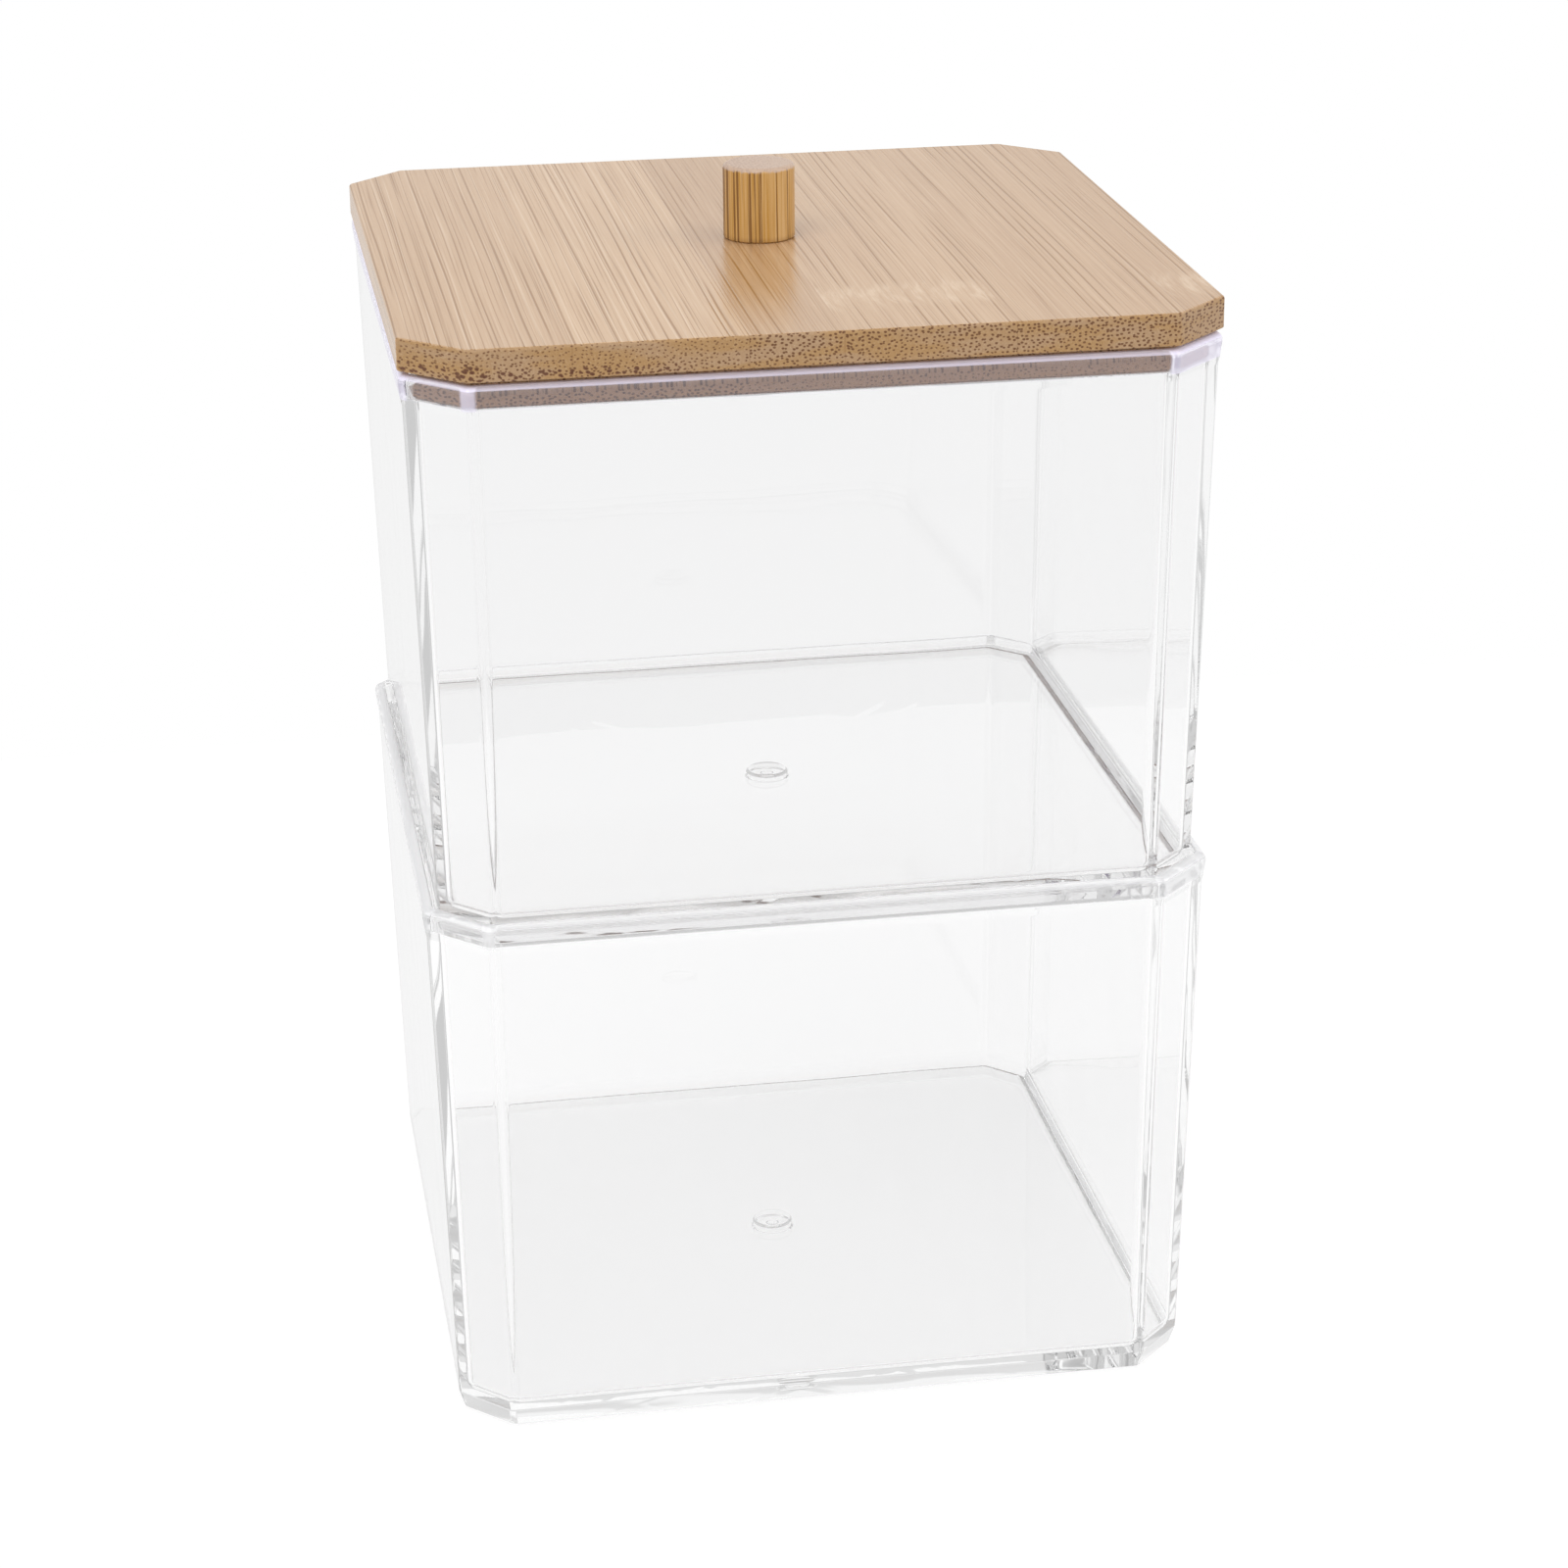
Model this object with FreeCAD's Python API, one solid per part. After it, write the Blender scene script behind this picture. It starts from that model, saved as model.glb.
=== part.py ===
"""Two-tier stacking cotton pad box: two clear moulded boxes, a bamboo lid and its turned knob.

Both boxes come from one mould. The foot of one box nests in the mouth of the box below it,
and the lid's plug nests in the mouth of the top box in the same way. Lengths are in millimetres,
+Z is up, the front looks along -Y, and the origin is at the centre of the lower box's foot.
"""
import FreeCAD, Part
import math
import os

from FreeCAD import Rotation, Vector

# ---------------------------------------------------------------- driving dimensions

# Moulded box, square in plan with 45-degree corners
box_height = 71.0           # foot to rim
wall_top_width = 99.1       # outside, across the flats, where the wall meets the rim collar
corner_leg = 7.15           # leg of the 45-degree corner at that height
wall_draft_deg = 1.35       # lean of the walls outside, wider at the mouth
core_draft_deg = 0.8        # lean of the walls inside
wall_thickness = 2.7        # at the ledge in the mouth
floor_thickness = 2.5
floor_fillet = 1.6          # inside, between floor and walls
outer_edge_radius = 1.2     # upright edges, outside
inner_edge_radius = 2.0     # upright edges, inside

# Rim collar and mouth
collar_height = 3.1
collar_step = 0.15          # how far the collar stands out from the wall under it
collar_bevel = 0.8          # height of the bevel that leads from the wall out to the collar
collar_flare = 0.35         # how much further out the collar is at the rim
rim_edge_radius = 1.0
nest_depth = 3.0            # depth of the mouth that takes a foot or the lid's plug
mouth_lead = 0.1            # how much wider the mouth is at the rim than at its ledge
mouth_edge_radius = 0.3
nest_clearance = 0.4        # between a foot and the mouth around it, on each side

# Tapered foot
foot_height = 2.5
seat_overlap = 0.45         # width of foot that comes over the ledge in the mouth
foot_edge_chamfer = 0.2

# Moulding gate under the floor, with a low boss over it inside
gate_diameter = 5.6
gate_depth = 0.5
gate_nub_diameter = 1.6
gate_nub_height = 0.3
gate_boss_height = 0.3

# Bamboo lid
plate_thickness = 4.0
plate_inset = 0.05          # how far the plate's edge stands inside the rim, on each side
lid_gap = 0.5               # between the plate and the rim, so that the plug seats first
plug_clearance = 0.7        # between the plug and the mouth, on each side
plate_edge_radius = 0.4     # eased edge round the top of the plate
plug_edge_chamfer = 0.3
plate_corner_radius = 0.8   # upright edges of the plate

# Knob, a length of bamboo dowel
knob_diameter = 9.2
knob_height = 9.6
knob_top_radius = 0.6
knob_foot_chamfer = 0.2

# Countersunk wood screw that holds the knob from below
screw_diameter = 3.0
screw_head_diameter = 5.6
screw_head_rim = 0.3        # straight edge of the head under its cone
screw_reach = 6.0           # length of the screw inside the knob
screw_tip_length = 2.0
screw_hole_clearance = 0.1  # round the shank, in the board
pilot_clearance = 0.03      # round the shank, in the knob
pilot_extra_depth = 0.5     # beyond the screw's tip
drive_width = 0.8           # arms of the cross recess
drive_span = 3.0
drive_depth = 1.2

# ---------------------------------------------------------------- derived dimensions

collar_base_z = box_height - collar_height
ledge_z = box_height - nest_depth
stack_pitch = ledge_z
wall_top_half = wall_top_width / 2


def wall_half(z):
    """Half width of the wall's outside at a height above the foot."""
    return wall_top_half - (collar_base_z - z) * math.tan(math.radians(wall_draft_deg))


def cavity_half(z):
    """Half width of the cavity inside that wall."""
    ledge_half = wall_half(ledge_z) - wall_thickness
    return ledge_half - (ledge_z - z) * math.tan(math.radians(core_draft_deg))


foot_half = cavity_half(ledge_z) + seat_overlap
mouth_half = wall_half(nest_depth) + nest_clearance
collar_half = wall_top_half + collar_step
rim_half = collar_half + collar_flare

plate_half = rim_half - plate_inset
plug_height = nest_depth + lid_gap
plug_half = mouth_half - plug_clearance
board_thickness = plate_thickness + plug_height
screw_length = board_thickness + screw_reach


# ---------------------------------------------------------------- profiles

def leg_at(half_width):
    """Corner leg of the box's outline once all eight sides have moved in or out alike."""
    return corner_leg - (2 - math.sqrt(2)) * (wall_top_half - half_width)


def outline(half_width, edge_radius, z):
    """Edges, in order, of a square with 45-degree corners whose eight points are rounded."""
    flat = half_width - leg_at(half_width)
    corners = []
    for quarter in range(4):
        turn = Rotation(Vector(0, 0, 1), 90 * quarter)
        corners.append(turn.multVec(Vector(half_width, -flat, z)))
        corners.append(turn.multVec(Vector(half_width, flat, z)))
    half_turn = math.radians(22.5)
    tangent_length = edge_radius * math.tan(half_turn)
    crown = edge_radius / math.cos(half_turn) - edge_radius
    starts, middles, ends = [], [], []
    for i, corner in enumerate(corners):
        before = (corners[i - 1] - corner).normalize()
        after = (corners[(i + 1) % 8] - corner).normalize()
        inward = (before + after).normalize()
        starts.append(corner + before * tangent_length)
        middles.append(corner + inward * crown)
        ends.append(corner + after * tangent_length)
    edges = []
    for i in range(8):
        edges.append(Part.Arc(starts[i], middles[i], ends[i]).toShape())
        edges.append(Part.LineSegment(ends[i], starts[(i + 1) % 8]).toShape())
    return edges


def side_face(lower, upper):
    """Flat face between two straight edges, or a ruled one between two arcs."""
    if isinstance(lower.Curve, Part.Line):
        ends = [v.Point for v in lower.Vertexes] + [v.Point for v in reversed(upper.Vertexes)]
        return Part.Face(Part.makePolygon(ends + ends[:1]))
    return Part.makeRuledSurface(lower, upper)


def drafted_solid(sections, edge_radius):
    """Solid with straight sides through box outlines given as (z, half width)."""
    rings = [outline(half, edge_radius, z) for z, half in sections]
    faces = [Part.Face(Part.Wire(rings[0])), Part.Face(Part.Wire(rings[-1]))]
    for lower, upper in zip(rings, rings[1:]):
        faces += [side_face(a, b) for a, b in zip(lower, upper)]
    return Part.makeSolid(Part.makeShell(faces)).removeSplitter()


def edges_at(shape, z):
    """Edges of a shape that lie wholly at one height."""
    return [e for e in shape.Edges if abs(e.BoundBox.ZMin - z) < 1e-6 and abs(e.BoundBox.ZMax - z) < 1e-6]


# ---------------------------------------------------------------- clear box

def box_skin():
    """Outer form: tapered foot, drafted wall and flared collar with a bevel under it."""
    bevel_z = collar_base_z - collar_bevel
    sections = [
        (0, foot_half),
        (foot_height, wall_half(foot_height)),
        (bevel_z, wall_half(bevel_z)),
        (collar_base_z, collar_half),
        (box_height, rim_half),
    ]
    skin = drafted_solid(sections, outer_edge_radius)
    skin = skin.makeChamfer(foot_edge_chamfer, edges_at(skin, 0))
    return skin.makeFillet(rim_edge_radius, edges_at(skin, box_height))


def box_cavity():
    """Storage space above the floor, up to the ledge."""
    sections = [(floor_thickness, cavity_half(floor_thickness)), (ledge_z, cavity_half(ledge_z))]
    cavity = drafted_solid(sections, inner_edge_radius)
    return cavity.makeFillet(floor_fillet, edges_at(cavity, floor_thickness))


def box_mouth():
    """Space above the ledge that takes a foot or the lid's plug."""
    return drafted_solid([(ledge_z, mouth_half), (box_height, mouth_half + mouth_lead)], outer_edge_radius)


def gate_mark():
    """Shallow round dimple under the floor, with the sprue's stub left inside it."""
    dimple = Part.makeCylinder(gate_diameter / 2, gate_depth)
    nub = Part.makeCylinder(gate_nub_diameter / 2, gate_nub_height, Vector(0, 0, gate_depth - gate_nub_height))
    return dimple.cut(nub)


def gate_boss():
    """Low raised disc on the floor inside, opposite the dimple, which keeps the floor's thickness there."""
    radius = gate_diameter / 2
    return Part.makeCone(radius, radius - gate_boss_height, gate_boss_height, Vector(0, 0, floor_thickness))


def moulded_box():
    """One box, standing on z = 0."""
    box = box_skin().cut(box_cavity()).cut(box_mouth())
    rim_face = [f for f in box.Faces if f.BoundBox.ZMin > box_height - 1e-6][0]
    mouth_wire = min(rim_face.Wires, key=lambda wire: wire.BoundBox.XLength)
    box = box.makeFillet(mouth_edge_radius, mouth_wire.Edges)
    return box.cut(gate_mark()).fuse(gate_boss())


# ---------------------------------------------------------------- lid

def screw_head(z):
    """Countersunk head, and so its seat: a short straight rim, then a 90-degree cone to the shank."""
    head_radius = screw_head_diameter / 2
    shank_radius = screw_diameter / 2
    rim = Part.makeCylinder(head_radius, screw_head_rim, Vector(0, 0, z))
    cone_base = Vector(0, 0, z + screw_head_rim)
    cone = Part.makeCone(head_radius, shank_radius, head_radius - shank_radius, cone_base)
    return rim.fuse(cone).removeSplitter()


def lid_board(z):
    """Bamboo board with its rebated edge: the plug below, the wider plate above."""
    plug_edges = outline(plug_half, outer_edge_radius, z)
    plug = Part.Face(Part.Wire(plug_edges)).extrude(Vector(0, 0, plug_height))
    plug = plug.makeChamfer(plug_edge_chamfer, edges_at(plug, z))
    plate_z = z + plug_height
    plate_edges = outline(plate_half, plate_corner_radius, plate_z)
    plate = Part.Face(Part.Wire(plate_edges)).extrude(Vector(0, 0, plate_thickness))
    plate = plate.makeFillet(plate_edge_radius, edges_at(plate, plate_z + plate_thickness))
    board = plug.fuse(plate).removeSplitter()
    hole_radius = screw_diameter / 2 + screw_hole_clearance
    hole = Part.makeCylinder(hole_radius, board_thickness, Vector(0, 0, z))
    return board.cut(hole).cut(screw_head(z))


def lid_knob(z):
    """Short dowel with an eased top and a blind pilot hole for the screw."""
    radius = knob_diameter / 2
    knob = Part.makeCylinder(radius, knob_height, Vector(0, 0, z))
    knob = knob.makeFillet(knob_top_radius, edges_at(knob, z + knob_height))
    knob = knob.makeChamfer(knob_foot_chamfer, edges_at(knob, z))
    pilot_radius = screw_diameter / 2 + pilot_clearance
    pilot = Part.makeCylinder(pilot_radius, screw_reach + pilot_extra_depth, Vector(0, 0, z))
    return knob.cut(pilot)


def knob_screw(z):
    """Countersunk wood screw, head down and flush with the plug, with a cross recess."""
    radius = screw_diameter / 2
    head_z = z + screw_head_rim
    shank_length = screw_length - screw_head_rim - screw_tip_length
    shank = Part.makeCylinder(radius, shank_length, Vector(0, 0, head_z))
    tip = Part.makeCone(radius, 0, screw_tip_length, Vector(0, 0, head_z + shank_length))
    screw = shank.fuse(tip).fuse(screw_head(z)).removeSplitter()
    for span_x, span_y in ((drive_span, drive_width), (drive_width, drive_span)):
        arm = Part.makeBox(span_x, span_y, drive_depth, Vector(-span_x / 2, -span_y / 2, z))
        screw = screw.cut(arm)
    return screw


# ---------------------------------------------------------------- assembly

def raised(shape, z):
    """Copy of a shape lifted by z."""
    copy = shape.copy()
    copy.translate(Vector(0, 0, z))
    return copy


def build_nodes():
    """Every piece in its place, by the name of its node."""
    box = moulded_box()
    lid_z = stack_pitch + ledge_z
    return {
        "lower_box": box,
        "upper_box": raised(box, stack_pitch),
        "lid_board": lid_board(lid_z),
        "lid_knob": lid_knob(lid_z + board_thickness),
        "knob_screw": knob_screw(lid_z),
    }


os.makedirs("parts", exist_ok=True)
for node, shape in build_nodes().items():
    shape.exportStep("parts/" + node + ".step")
    print(node, "solids", len(shape.Solids), "valid", shape.isValid(), "volume", round(shape.Volume, 1))
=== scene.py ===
"""Stacking cotton pad box: two clear mouldings, a bamboo lid, its dowel knob and the knob's screw.

Lengths are in metres, +Z is up and the front looks along -Y, as in the frame that is loaded here.
"""
import math

import bmesh
import bpy
from mathutils import Matrix, Vector


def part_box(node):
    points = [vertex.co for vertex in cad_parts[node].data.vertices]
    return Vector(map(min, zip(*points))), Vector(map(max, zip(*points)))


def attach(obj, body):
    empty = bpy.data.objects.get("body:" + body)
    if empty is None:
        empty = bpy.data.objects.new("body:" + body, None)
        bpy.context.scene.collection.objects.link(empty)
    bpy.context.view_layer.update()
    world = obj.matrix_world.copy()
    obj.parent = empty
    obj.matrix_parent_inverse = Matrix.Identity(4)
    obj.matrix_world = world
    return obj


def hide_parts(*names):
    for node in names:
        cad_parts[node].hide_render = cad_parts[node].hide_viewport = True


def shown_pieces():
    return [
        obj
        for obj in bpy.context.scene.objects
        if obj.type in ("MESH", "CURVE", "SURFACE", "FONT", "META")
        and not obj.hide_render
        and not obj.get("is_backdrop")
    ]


bl_info = {
    "name": "Stacking cotton pad box",
    "version": (1, 0, 0),
    "blender": (4, 5, 0),
    "location": "View3D > Sidebar > Cotton box",
    "description": "Clear stacking boxes with a bamboo lid, and a plain studio to show them in",
    "category": "Add Mesh",
}

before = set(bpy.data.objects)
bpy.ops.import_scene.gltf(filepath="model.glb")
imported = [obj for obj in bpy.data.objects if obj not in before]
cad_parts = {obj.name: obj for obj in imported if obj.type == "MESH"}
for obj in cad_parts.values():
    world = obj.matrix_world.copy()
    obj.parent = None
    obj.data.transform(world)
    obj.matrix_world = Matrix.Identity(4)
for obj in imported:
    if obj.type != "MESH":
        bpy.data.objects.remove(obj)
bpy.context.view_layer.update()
LOWER_LOW, LOWER_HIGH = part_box("lower_box")
UPPER_LOW, UPPER_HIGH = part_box("upper_box")
BOARD_LOW, BOARD_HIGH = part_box("lid_board")
KNOB_LOW, KNOB_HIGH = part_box("lid_knob")

MM = 0.001
ROOT2 = math.sqrt(2)
CORNERS = 8             # upright edges of the cut-corner plan
LEAST_EDGE = 0.05 * MM  # smallest radius of an upright edge
WELD = 1e-6             # points nearer than this become one
SHARP_TURN = 32         # degrees between faces, past which their edge stays crisp
LONGEST_PATH = 24       # bounces inside the plastic
SPARE_PATH = 4          # bounces after that, by which the light leaves


# ---------------------------------------------------------------- sizes and colours

def length(name, description, default):
    """A length property, in metres."""
    return bpy.props.FloatProperty(
        name=name, description=description, default=default, min=0, unit="LENGTH", precision=5)


def angle(name, description, degrees):
    """An angle property with its default given in degrees."""
    return bpy.props.FloatProperty(
        name=name, description=description, default=math.radians(degrees),
        unit="ROTATION", subtype="ANGLE")


def colour(name, description, default):
    """A colour property, in linear light."""
    return bpy.props.FloatVectorProperty(
        name=name, description=description, default=default, size=3, min=0, max=1,
        subtype="COLOR")


class BoxSizes(bpy.types.PropertyGroup):
    """Sizes of the clear moulded box."""
    height: length("Height", "Foot to rim", LOWER_HIGH.z - LOWER_LOW.z)
    wall_top_width: length("Wall top width", "Across the flats, just under the collar", 99.1 * MM)
    corner_leg: length("Corner leg", "Leg of the cut corner at that height", 7.15 * MM)
    wall_draft: angle("Wall draft", "Lean of the walls outside", 1.35)
    core_draft: angle("Core draft", "Lean of the walls inside", 0.8)
    wall_thickness: length("Wall thickness", "At the ledge in the mouth", 2.7 * MM)
    floor_thickness: length("Floor thickness", "Foot to the inside of the floor", 2.5 * MM)
    floor_fillet: length("Floor fillet", "Between floor and walls", 1.6 * MM)
    outer_edge: length("Outer edge radius", "Upright edges, outside", 1.2 * MM)
    inner_edge: length("Inner edge radius", "Upright edges, inside", 2.0 * MM)
    collar_height: length("Collar height", "Rim down to the collar's lower edge", 3.1 * MM)
    collar_step: length("Collar step", "How far the collar stands out from the wall", 0.15 * MM)
    collar_bevel: length("Collar bevel", "Height of the bevel under the collar", 0.8 * MM)
    collar_flare: length("Collar flare", "How much further out the collar is at the rim", 0.35 * MM)
    rim_edge: length("Rim edge radius", "Outer edge of the rim", 1.0 * MM)
    mouth_edge: length("Mouth edge radius", "Inner edge of the rim", 0.3 * MM)
    nest_depth: length("Nest depth", "Rim down to the ledge", 3.0 * MM)
    nest_clearance: length("Nest clearance", "Round a foot in the mouth", 0.4 * MM)
    mouth_lead: length("Mouth lead", "Extra half width of the mouth at the rim", 0.1 * MM)
    foot_height: length("Foot height", "Height of the tapered foot", 2.5 * MM)
    seat_overlap: length("Seat overlap", "Width of foot over the ledge", 0.45 * MM)
    gate_radius: length("Gate radius", "Round mark under the floor", 2.8 * MM)
    gate_depth: length("Gate depth", "Depth of that mark", 0.5 * MM)
    gate_nub: length("Gate stub height", "Sprue stub in the mark", 0.3 * MM)
    gate_boss: length("Gate boss height", "Raised disc on the floor over the mark", 0.3 * MM)
    contact_gap: length("Contact gap", "Air left between faces that rest on each other", 0.02 * MM)


class LidSizes(bpy.types.PropertyGroup):
    """Sizes of the bamboo board and its knob."""
    plate_thickness: length("Plate thickness", "Board above the rim", 4.0 * MM)
    plate_inset: length("Plate inset", "Plate's edge, in from the rim's", 0.05 * MM)
    plug_half: length("Plug half width", "Half the width of the plug", 47.72 * MM)
    top_edge: length("Top edge radius", "Eased edge round the top", 0.4 * MM)
    plug_edge: length("Plug edge chamfer", "Lower edge of the plug", 0.3 * MM)
    plate_corner: length("Plate corner radius", "Upright edges of the plate", 0.8 * MM)
    hole_radius: length("Hole radius", "Clearance hole for the screw", 1.6 * MM)
    head_radius: length("Head radius", "Countersink for the screw", 2.8 * MM)
    head_rim: length("Head rim", "Straight part of the countersink", 0.3 * MM)
    knob_edge: length("Knob edge radius", "Top edge of the knob", 0.6 * MM)
    knob_foot: length("Knob foot chamfer", "Lower edge of the knob", 0.2 * MM)
    pilot_radius: length("Pilot radius", "Hole in the knob", 1.53 * MM)
    pilot_depth: length("Pilot depth", "Hole in the knob", 6.5 * MM)


class Finishes(bpy.types.PropertyGroup):
    """Colours of the materials."""
    plastic: colour("Plastic", "Faint cast of the clear plastic", (0.978, 0.978, 0.979))
    # painted edge glow: a lavender-white layer standing in for the light that the upper box's rim
    # and collar edges catch
    painted_edge_glow: colour("Frosted edge", "Where the rim scatters light", (0.80, 0.76, 0.92))
    # the lower box's painted edge glow, greyer and half as strong
    painted_edge_glow_low: colour("Frosted edge, lower box", "The same on the lower box", (0.86, 0.86, 0.88))
    bamboo_pale: colour("Bamboo, pale", "Soft tissue of the board", (0.61, 0.41, 0.242))
    bamboo_deep: colour("Bamboo, deep", "Darker strips of the board", (0.46, 0.28, 0.145))
    streak: colour("Streaks", "Fibre bundles seen along their length", (0.29, 0.138, 0.032))
    end_grain: colour("End grain", "Soft tissue, cut across", (0.385, 0.222, 0.088))
    end_grain_pale: colour("End grain, pale", "Paler patches of the cut edge", (0.40, 0.26, 0.155))
    bundle: colour("Fibre bundles", "Fibre bundles cut across", (0.13, 0.046, 0.010))
    bundle_dark: colour("Bundles, dark", "Coarse ones near the cane's skin", (0.10, 0.026, 0.006))
    # painted shade: a darker, redder tone for the plug where it sits in shade under the plate
    plug_painted_shade: colour("Plug cast", "Unvarnished wood of the plug", (0.50, 0.275, 0.165))
    node_tuft: colour("Node tissue", "Pale tissue at the bamboo's nodes", (0.80, 0.63, 0.45))
    dowel_pale: colour("Dowel, pale", "Lighter wood of the knob", (0.66, 0.42, 0.18))
    dowel_gold: colour("Dowel, gold", "Golden wood of the knob", (0.50, 0.265, 0.055))
    dowel_deep: colour("Dowel, deep", "Darker stripes of the knob", (0.18, 0.072, 0.008))
    dowel_end: colour("Dowel, end", "Cut end of the knob", (0.52, 0.385, 0.31))
    zinc: colour("Zinc", "Plating of the screw", (0.58, 0.58, 0.56))


class StudioSettings(bpy.types.PropertyGroup):
    """Levels of the lamps, and the camera."""
    key_power: bpy.props.FloatProperty(
        name="Key power", description="Large lamp above the front left", default=4.5,
        min=0, unit="POWER")
    fill_power: bpy.props.FloatProperty(
        name="Fill power", description="Large lamp on the right", default=2.0,
        min=0, unit="POWER")
    room_light: bpy.props.FloatProperty(
        name="Room light", description="Even light from all round", default=0.86, min=0)
    lens: bpy.props.FloatProperty(
        name="Lens", description="Focal length", default=88.69, min=1, unit="CAMERA")
    camera_place: bpy.props.FloatVectorProperty(
        name="Camera place", description="Where the camera stands",
        default=(-0.07740, -0.48329, 0.25701), size=3, subtype="XYZ", unit="LENGTH")
    camera_turn: bpy.props.FloatVectorProperty(
        name="Camera turn", description="Rotation vector of the camera",
        default=(1.19972, -0.09243, -0.15244), size=3)


# ---------------------------------------------------------------- node writing

class Value:
    """A socket that can be used in arithmetic: each operator adds a Math node."""

    def __init__(self, tree, socket):
        self.tree = tree
        self.socket = socket

    def math(self, operation, *others):
        return self.tree.math(operation, self, *others)

    def __add__(self, other):
        return self.math("ADD", other)

    def __mul__(self, other):
        return self.math("MULTIPLY", other)

    def __sub__(self, other):
        return self.math("SUBTRACT", other)

    def __truediv__(self, other):
        return self.math("DIVIDE", other)

    def __pow__(self, other):
        return self.math("POWER", other)

    __radd__ = __add__
    __rmul__ = __mul__

    def __rsub__(self, other):
        return self.tree.math("SUBTRACT", other, self)

    def __rtruediv__(self, other):
        return self.tree.math("DIVIDE", other, self)

    def above(self, edge):
        """1 above edge, 0 below it."""
        return self.math("GREATER_THAN", edge)

    def clamped(self):
        """The value, kept between 0 and 1."""
        return self.tree.add("ShaderNodeMath", {"operation": "ADD", "use_clamp": True},
                             {0: self, 1: 0.0})

    def ramp(self, low, high, start, end):
        """start below low, end above high, smooth between."""
        return self.tree.add("ShaderNodeMapRange", {"interpolation_type": "SMOOTHSTEP"}, {
            "Value": self, "From Min": low, "From Max": high, "To Min": start, "To Max": end})

    def step(self, low, high):
        """0 below low, 1 above high, smooth between."""
        return self.ramp(low, high, 0.0, 1.0)

    def fade(self, low, high):
        """1 below low, 0 above high, smooth between."""
        return self.ramp(low, high, 1.0, 0.0)


class Tree:
    """Adds nodes to a node tree and links them."""

    def __init__(self, tree):
        self.tree = tree

    def add(self, kind, settings=None, inputs=None, output=0):
        """A new node's output. Settings are set first, then each input takes a value or a link."""
        node = self.tree.nodes.new(kind)
        for name, value in (settings or {}).items():
            setattr(node, name, value)
        for key, value in (inputs or {}).items():
            if isinstance(value, Value):
                self.tree.links.new(value.socket, node.inputs[key])
            else:
                node.inputs[key].default_value = value
        if not node.outputs:
            return node
        return Value(self, node.outputs[output])

    def math(self, operation, *inputs):
        return self.add("ShaderNodeMath", {"operation": operation}, dict(enumerate(inputs)))

    def other(self, value, output):
        """Another output of the node that a value came from."""
        return Value(self, value.socket.node.outputs[output])

    def mix(self, factor, first, second):
        """A colour between two."""
        pick = [c if isinstance(c, Value) else (*c, 1) for c in (first, second)]
        return self.add("ShaderNodeMix", {"data_type": "RGBA"},
                        {0: factor, 6: pick[0], 7: pick[1]}, 2)

    def tint(self, colour_value, factor, other):
        """A colour multiplied by another, as far as factor says."""
        return self.add("ShaderNodeMix", {"data_type": "RGBA", "blend_type": "MULTIPLY"},
                        {0: factor, 6: colour_value, 7: (*other, 1)}, 2)

    def vector(self, x, y, z):
        return self.add("ShaderNodeCombineXYZ", None, {0: x, 1: y, 2: z})

    def split(self, vector):
        x = self.add("ShaderNodeSeparateXYZ", None, {0: vector})
        return x, self.other(x, 1), self.other(x, 2)

    def noise(self, vector, scale=1.0, detail=2.0, rough=0.5):
        return self.add("ShaderNodeTexNoise", None,
                        {"Vector": vector, "Scale": scale, "Detail": detail, "Roughness": rough})

    def random(self, value):
        """A steady random number for each whole number."""
        return self.add("ShaderNodeTexWhiteNoise", {"noise_dimensions": "1D"}, {"W": value})

    def bump(self, strength, distance, height):
        return self.add("ShaderNodeBump", None,
                        {"Strength": strength, "Distance": distance, "Height": height})

    def matt(self, grey):
        """A diffuse shader of one grey."""
        return self.add("ShaderNodeBsdfDiffuse", None, {"Color": (grey, grey, grey, 1)})

    def glow(self, strength):
        """A white shader that gives off its own light."""
        return self.add("ShaderNodeEmission", None,
                        {"Color": (1, 1, 1, 1), "Strength": strength})

    def blend(self, factor, first, second):
        """A shader between two."""
        return self.add("ShaderNodeMixShader", None, {0: factor, 1: first, 2: second})


def new_material(name):
    """An empty node material and its writer."""
    material = bpy.data.materials.new(name)
    material.use_nodes = True
    material.node_tree.nodes.clear()
    return material, Tree(material.node_tree)


def principled(tree, inputs):
    return tree.add("ShaderNodeBsdfPrincipled", None, inputs)


def end_material(tree, shader):
    tree.add("ShaderNodeOutputMaterial", None, {"Surface": shader})


def object_millimetres(tree):
    """Object coordinates in millimetres, split in three."""
    place = tree.add("ShaderNodeTexCoord", None, None, "Object")
    scaled = tree.add("ShaderNodeVectorMath", {"operation": "SCALE"}, {0: place, "Scale": 1 / MM})
    return tree.split(scaled)


# ---------------------------------------------------------------- loft round a cut-corner plan

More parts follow.
